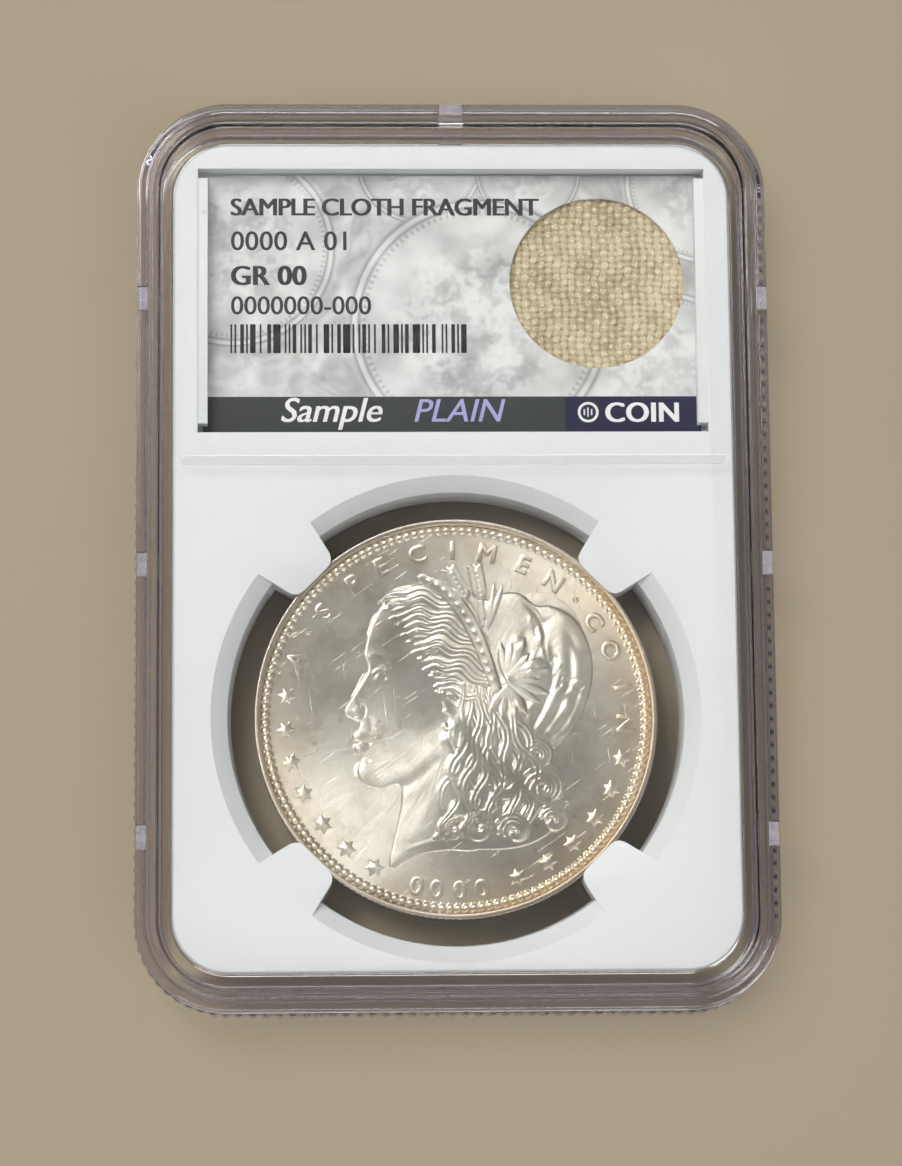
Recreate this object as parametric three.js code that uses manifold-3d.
// A graded coin slab: a coin held by four prongs in a white core, with its labels, between two clear shells.
//
// Frame: millimetres, the slab lies on its back. +Z is the front's normal, +Y runs from the coin to the
// label, and +X crosses the slab. The origin is the centre of the base. Every outline of a shell is the
// slab's outline set in by a named amount, so all of them stay concentric at the corners.
import * as THREE from "three";
import { mergeVertices } from "three/addons/utils/BufferGeometryUtils.js";
import Module from "manifold-3d";

const wasm = await Module();
wasm.setup();

// --- Driving dimensions ---------------------------------------------------------------------------------

const slab = { width: 60.9, height: 87.6, cornerRadius: 9.0 };
const coin = { radius: 19.05, thickness: 2.4, rimWidth: 0.6, fieldDepth: 0.15, edgeBreak: 0.1 };

const gap = {
  seam: 0.1, // between the two shells, and round the weld tongue
  core: 0.1, // above and below the core
  coreSide: 0.2, // round the core
  coinSide: 0.09, // between the coin's edge and each prong
  coinFace: 0.05, // between the coin's faces and each prong's lips
  card: 0.05, // above and below a card in its pocket
  cardSide: 0.5, // beside the cards
  cardEnd: 0.25, // above and below them on the page
  cloth: 0.2, // round the cloth
};

const core = { thickness: 3.8, edgeBreak: 0.2, sideWall: 3.5, endWall: 3.8 };
const window = { thickness: 1.2, recess: 0.8, rimWidth: 1.9, stepSlope: 0.3 };
const shell = { setIn: 0.3, edgeRadius: 0.6, edgeSteps: 3, flangeHeight: 2.2, flangeBreak: 0.15 };
const weld = { tongue: 0.7, depth: 0.6, setIn: 2.05 };
const lug = { length: 2.2, depth: 0.8, height: 2.2, pitch: 25.8, offset: -1.3 };
const crossRib = { y: 8.6, width: 0.9, height: 0.15, endGap: 0.9 };

const seat = { y: -15.85, clearance: 2.55, chamferWidth: 1.55, chamferDepth: 0.7, draft: 0.3 };
const prong = { rootWidth: 7.6, tipWidth: 5.0, tipRadius: 1.0, tipOverlap: 0.35, lip: 0.25 };
const prongSet = { count: 4, firstAngle: 45 };

const card = { width: 47.8, height: 25.4, thickness: 0.3, y: 24.45, cornerRadius: 0.3 };
const frontPocketDepth = 2.0;
const rail = { width: 0.95, length: 24.1, thickness: 1.5 };
const cloth = { radius: 9.2, thickness: 0.6, x: 14.0, y: 26.5, lap: 0.8 };
const foil = { width: 15.0, height: 15.0, thickness: 0.1, x: -13.5, cornerRadius: 1.2 };

const round = { corner: 6, seat: 96, coin: 96, cloth: 32 };

// --- Heights and insets worked out from them ------------------------------------------------------------

const rearWindow = { outside: window.recess, inside: window.recess + window.thickness };
const coreZ = { low: rearWindow.inside + gap.core };
coreZ.high = coreZ.low + core.thickness;
const frontWindow = { inside: coreZ.high + gap.core };
frontWindow.outside = frontWindow.inside + window.thickness;
const slabThickness = frontWindow.outside + window.recess;
const seamZ = (slabThickness - gap.seam / 2) / 2;
const coinZ = { low: (coreZ.low + coreZ.high - coin.thickness) / 2 };
coinZ.high = coinZ.low + coin.thickness;

const coreInset = { side: core.sideWall + gap.coreSide, end: core.endWall + gap.coreSide };
const throatRadius = coin.radius + seat.clearance;
const mouthRadius = throatRadius + seat.chamferWidth;
const rimInnerInset = shell.setIn + window.rimWidth;
const groove = { setIn: weld.setIn - gap.seam, width: weld.tongue + 2 * gap.seam };
const past = 1; // how far a cutting solid runs past the face it opens

const cardZ = { low: coreZ.high - frontPocketDepth + gap.card };
cardZ.high = cardZ.low + card.thickness;
const clothZ = { high: cardZ.low - gap.card };
clothZ.low = clothZ.high - cloth.thickness;
const foilZ = { low: coreZ.low + gap.card };
foilZ.high = foilZ.low + foil.thickness;
const rearCardZ = { low: foilZ.high + gap.card };
rearCardZ.high = rearCardZ.low + card.thickness;

// --- Outlines -------------------------------------------------------------------------------------------

function roundedRectangle(width, height, radius, x = 0, y = 0) {
  const right = x + width / 2 - radius;
  const left = x - width / 2 + radius;
  const top = y + height / 2 - radius;
  const bottom = y - height / 2 + radius;
  const outline = new THREE.Shape();
  outline.absarc(right, bottom, radius, -Math.PI / 2, 0);
  outline.absarc(right, top, radius, 0, Math.PI / 2);
  outline.absarc(left, top, radius, Math.PI / 2, Math.PI);
  outline.absarc(left, bottom, radius, Math.PI, 1.5 * Math.PI);
  return outline;
}

// The slab's own outline, set in at the sides and the ends.
function slabOutline(side, end = side) {
  return roundedRectangle(slab.width - 2 * side, slab.height - 2 * end, slab.cornerRadius - side);
}

function slabRing(outerInset, innerInset) {
  const ring = slabOutline(outerInset);
  ring.holes.push(slabOutline(innerInset));
  return ring;
}

function disc(radius, x, y) {
  return new THREE.Shape().absarc(x, y, radius, 0, 2 * Math.PI);
}

// --- Solids ---------------------------------------------------------------------------------------------

function solid(geometry) {
  const bare = geometry.clone();
  bare.deleteAttribute("normal");
  bare.deleteAttribute("uv");
  const merged = mergeVertices(bare, 1e-4);
  const vertProperties = merged.attributes.position.array;
  const triVerts = new Uint32Array(merged.index.array);
  return new wasm.Manifold(new wasm.Mesh({ numProp: 3, vertProperties, triVerts }));
}

function plate(outline, low, high, curveSegments = round.corner) {
  const settings = { depth: high - low, bevelEnabled: false, curveSegments };
  return solid(new THREE.ExtrudeGeometry(outline, settings).translate(0, 0, low));
}

// A plate whose two rims are broken: they run in by `across` over a height of `up`.
function brokenPlate(outline, low, high, across, up, steps = 1) {
  const geometry = new THREE.ExtrudeGeometry(outline, {
    depth: high - low - 2 * up,
    bevelThickness: up,
    bevelSize: across,
    bevelOffset: -across,
    bevelSegments: steps,
    curveSegments: round.corner,
  });
  return solid(geometry.translate(0, 0, low + up));
}

function block(width, height, x, y, low, high) {
  const geometry = new THREE.BoxGeometry(width, height, high - low);
  return solid(geometry.translate(x, y, (low + high) / 2));
}

// A turned solid about the coin's own axis. The profile is [radius, z] pairs, anticlockwise.
function turned(profile, segments) {
  const points = profile.map(([radius, z]) => new THREE.Vector2(radius, z));
  const geometry = new THREE.LatheGeometry(points, segments);
  return solid(geometry.rotateX(Math.PI / 2).translate(0, seat.y, 0));
}

function joined(solids) {
  return solids.reduce((whole, piece) => whole.add(piece));
}

// --- Shells ---------------------------------------------------------------------------------------------

// The hollow that sets a window below its rim: its wall runs in by the step's slope on the way down.
function windowRecess(low, high) {
  const outline = slabOutline(rimInnerInset);
  return brokenPlate(outline, low, high, window.stepSlope, window.recess);
}

// Where the lugs stand: three on each long side and one at the top, as [x, y, width, height].
function lugPlaces(extra) {
  const reachX = slab.width / 2 - shell.setIn - lug.depth / 2;
  const reachY = slab.height / 2 - shell.setIn - lug.depth / 2;
  const along = lug.length + 2 * extra;
  const across = lug.depth + 2 * extra;
  const places = [[0, reachY, along, across]];
  for (const side of [-1, 1]) {
    for (const step of [-1, 0, 1]) {
      places.push([side * reachX, lug.offset + step * lug.pitch, across, along]);
    }
  }
  return places;
}

function lugs(low, high, extra) {
  return lugPlaces(extra).map(([x, y, width, height]) => block(width, height, x, y, low, high));
}

function frontShell() {
  const low = seamZ + gap.seam;
  const tongue = plate(slabRing(weld.setIn, weld.setIn + weld.tongue), low - weld.depth, low + past);
  const ribLength = slab.width - 2 * (coreInset.side + crossRib.endGap);
  const ribTop = frontWindow.outside + crossRib.height;
  const ribRoot = frontWindow.outside - window.thickness / 2;
  const rib = block(ribLength, crossRib.width, 0, crossRib.y, ribRoot, ribTop);
  const outer = slabOutline(shell.setIn);
  return brokenPlate(outer, low - past, slabThickness, shell.edgeRadius, shell.edgeRadius, shell.edgeSteps)
    .subtract(block(2 * slab.width, 2 * slab.height, 0, 0, low - 2 * past, low))
    .subtract(windowRecess(frontWindow.outside, slabThickness + 2 * past))
    .subtract(plate(slabOutline(core.sideWall, core.endWall), low - past, frontWindow.inside))
    .subtract(joined(lugs(low - past, seamZ + lug.height + gap.seam, gap.seam)))
    .add(tongue)
    .add(rib);
}

function rearShell() {
  const foot = slabOutline(shell.setIn);
  const flange = slabOutline(0);
  const grooveRing = slabRing(groove.setIn, groove.setIn + groove.width);
  const { edgeRadius, edgeSteps, flangeBreak } = shell;
  return brokenPlate(foot, 0, seamZ + past, edgeRadius, edgeRadius, edgeSteps)
    .add(brokenPlate(flange, seamZ - shell.flangeHeight, seamZ, flangeBreak, flangeBreak))
    .subtract(block(2 * slab.width, 2 * slab.height, 0, 0, seamZ, seamZ + 2 * past))
    .subtract(windowRecess(-2 * past, rearWindow.outside))
    .subtract(plate(slabOutline(core.sideWall, core.endWall), rearWindow.inside, seamZ + past))
    .subtract(plate(grooveRing, seamZ - weld.depth, seamZ + past))
    .add(joined(lugs(seamZ - past, seamZ + lug.height, 0)));
}

// --- Core -----------------------------------------------------------------------------------------------

// The coin's well: a drafted throat that opens into a chamfered mouth at the front.
function seatHole() {
  const mouthZ = coreZ.high - seat.chamferDepth;
  const footRadius = throatRadius - seat.draft;
  const slope = seat.chamferWidth / seat.chamferDepth;
  return turned(
    [
      [0, coreZ.low - past],
      [footRadius, coreZ.low - past],
      [footRadius, coreZ.low],
      [throatRadius, mouthZ],
      [mouthRadius + slope * past, coreZ.high + past],
      [0, coreZ.high + past],
    ],
    round.seat,
  );
}

// The ring that the prongs are cut from: its two faces slope to a thin tip with a groove for the coin's edge.
function jawRing() {
  const tipRadius = coin.radius - prong.tipOverlap - past;
  const jawLow = coinZ.low - gap.coinFace;
  const jawHigh = coinZ.high + gap.coinFace;
  const ring = turned(
    [
      [tipRadius, jawLow - prong.lip],
      [mouthRadius, coreZ.low],
      [mouthRadius + past, coreZ.low],
      [mouthRadius + past, coreZ.high],
      [mouthRadius, coreZ.high],
      [tipRadius, jawHigh + prong.lip],
      [tipRadius, jawLow - prong.lip],
    ],
    round.coin,
  );
  const edgeRadius = coin.radius + gap.coinSide;
  const coinSpace = [
    [0, jawLow],
    [edgeRadius, jawLow],
    [edgeRadius, jawHigh],
    [0, jawHigh],
  ];
  return ring.subtract(turned(coinSpace, round.coin));
}

// One prong's plan: a tongue that narrows from the well's mouth to a round-cornered tip over the coin.
function prongPlan() {
  const root = prong.rootWidth / 2;
  const tip = prong.tipWidth / 2;
  const from = mouthRadius + past;
  const to = coin.radius - prong.tipOverlap;
  const bend = to + prong.tipRadius;
  const taper = ((root - tip) * prong.tipRadius) / (from - to);
  const plan = new THREE.Shape();
  plan.moveTo(from, -root);
  plan.lineTo(from, root);
  plan.lineTo(bend, tip + taper);
  plan.quadraticCurveTo(to, tip, to, tip - prong.tipRadius);
  plan.lineTo(to, prong.tipRadius - tip);
  plan.quadraticCurveTo(to, -tip, bend, -tip - taper);
  plan.closePath();
  return plan;
}

function prongs() {
  const turn = (2 * Math.PI) / prongSet.count;
  const first = THREE.MathUtils.degToRad(prongSet.firstAngle);
  const settings = { depth: core.thickness + 2 * past, bevelEnabled: false, curveSegments: round.corner };
  const fingers = Array.from({ length: prongSet.count }, (_, index) => {
    const finger = new THREE.ExtrudeGeometry(prongPlan(), settings);
    finger.translate(0, 0, coreZ.low - past).rotateZ(first + index * turn);
    return solid(finger.translate(0, seat.y, 0));
  });
  return joined(fingers).intersect(jawRing());
}

// A pocket for a card, sunk into one face of the core.
function cardPocket(low, high) {
  const width = card.width + 2 * gap.cardSide;
  const height = card.height + 2 * gap.cardEnd;
  return block(width, height, 0, card.y, low, high);
}

// The two lips that hold the front label's side edges down. Each is let into the pocket's wall.
function rails() {
  const wall = card.width / 2 + gap.cardSide;
  const low = cardZ.high + gap.card;
  return [-1, 1].map((side) => {
    const x = side * (wall - rail.width / 2 + gap.cardSide / 2);
    return block(rail.width + gap.cardSide, rail.length, x, card.y, low, low + rail.thickness);
  });
}

function coreInsert() {
  const clothWell = disc(cloth.radius + gap.cloth, cloth.x, cloth.y);
  const outline = slabOutline(coreInset.side, coreInset.end);
  return brokenPlate(outline, coreZ.low, coreZ.high, core.edgeBreak, core.edgeBreak)
    .subtract(seatHole())
    .subtract(cardPocket(coreZ.high - frontPocketDepth, coreZ.high + past))
    .subtract(cardPocket(coreZ.low - past, rearCardZ.high + gap.card))
    .subtract(plate(clothWell, clothZ.low - gap.card, coreZ.high, round.cloth))
    .add(prongs())
    .add(joined(rails()));
}

// --- Coin, labels and cloth -----------------------------------------------------------------------------

function coinBlank() {
  const { radius, rimWidth, fieldDepth, edgeBreak } = coin;
  const rimInside = radius - edgeBreak - rimWidth;
  return turned(
    [
      [0, coinZ.low + fieldDepth],
      [rimInside - fieldDepth, coinZ.low + fieldDepth],
      [rimInside, coinZ.low],
      [radius - edgeBreak, coinZ.low],
      [radius, coinZ.low + edgeBreak],
      [radius, coinZ.high - edgeBreak],
      [radius - edgeBreak, coinZ.high],
      [rimInside, coinZ.high],
      [rimInside - fieldDepth, coinZ.high - fieldDepth],
      [0, coinZ.high - fieldDepth],
    ],
    round.coin,
  );
}

function plainLabel(low, high) {
  return plate(roundedRectangle(card.width, card.height, card.cornerRadius, 0, card.y), low, high, 2);
}

function windowedLabel() {
  const opening = disc(cloth.radius - cloth.lap, cloth.x, cloth.y);
  return plainLabel(cardZ.low, cardZ.high).subtract(
    plate(opening, cardZ.low - past, cardZ.high + past, round.cloth),
  );
}

function clothPatch() {
  return plate(disc(cloth.radius, cloth.x, cloth.y), clothZ.low, clothZ.high, round.cloth);
}

function foilPatch() {
  const outline = roundedRectangle(foil.width, foil.height, foil.cornerRadius, foil.x, card.y);
  return plate(outline, foilZ.low, foilZ.high, 3);
}

// --- Materials and assembly -----------------------------------------------------------------------------

function finish(color, roughness, metalness = 0) {
  return new THREE.MeshStandardMaterial({ color, roughness, metalness });
}

const clearPlastic = finish(0xdfe6e8, 0.06);
clearPlastic.transparent = true;
clearPlastic.opacity = 0.3;
const whitePlastic = finish(0xf1f2f3, 0.55);
const silver = finish(0xc9c5b8, 0.28, 1);
const printedCard = finish(0xc9c9cb, 0.5);
const plainCard = finish(0xe6e6e8, 0.5);
const canvas = finish(0xcdbe96, 0.95);
const foilSheet = finish(0xb9c2cc, 0.2, 1);

function meshOf(name, body, material) {
  const { vertProperties, triVerts } = body.getMesh();
  const geometry = new THREE.BufferGeometry();
  geometry.setAttribute("position", new THREE.BufferAttribute(vertProperties, 3));
  geometry.setIndex(new THREE.BufferAttribute(triVerts, 1));
  geometry.computeVertexNormals();
  const mesh = new THREE.Mesh(geometry, material);
  mesh.name = name;
  return mesh;
}

const assembly = new THREE.Group();
assembly.add(
  meshOf("rear_shell", rearShell(), clearPlastic),
  meshOf("front_shell", frontShell(), clearPlastic),
  meshOf("core_insert", coreInsert(), whitePlastic),
  meshOf("coin", coinBlank(), silver),
  meshOf("front_label", windowedLabel(), printedCard),
  meshOf("cloth_fragment", clothPatch(), canvas),
  meshOf("rear_label", plainLabel(rearCardZ.low, rearCardZ.high), plainCard),
  meshOf("security_foil", foilPatch(), foilSheet),
);

export default assembly;
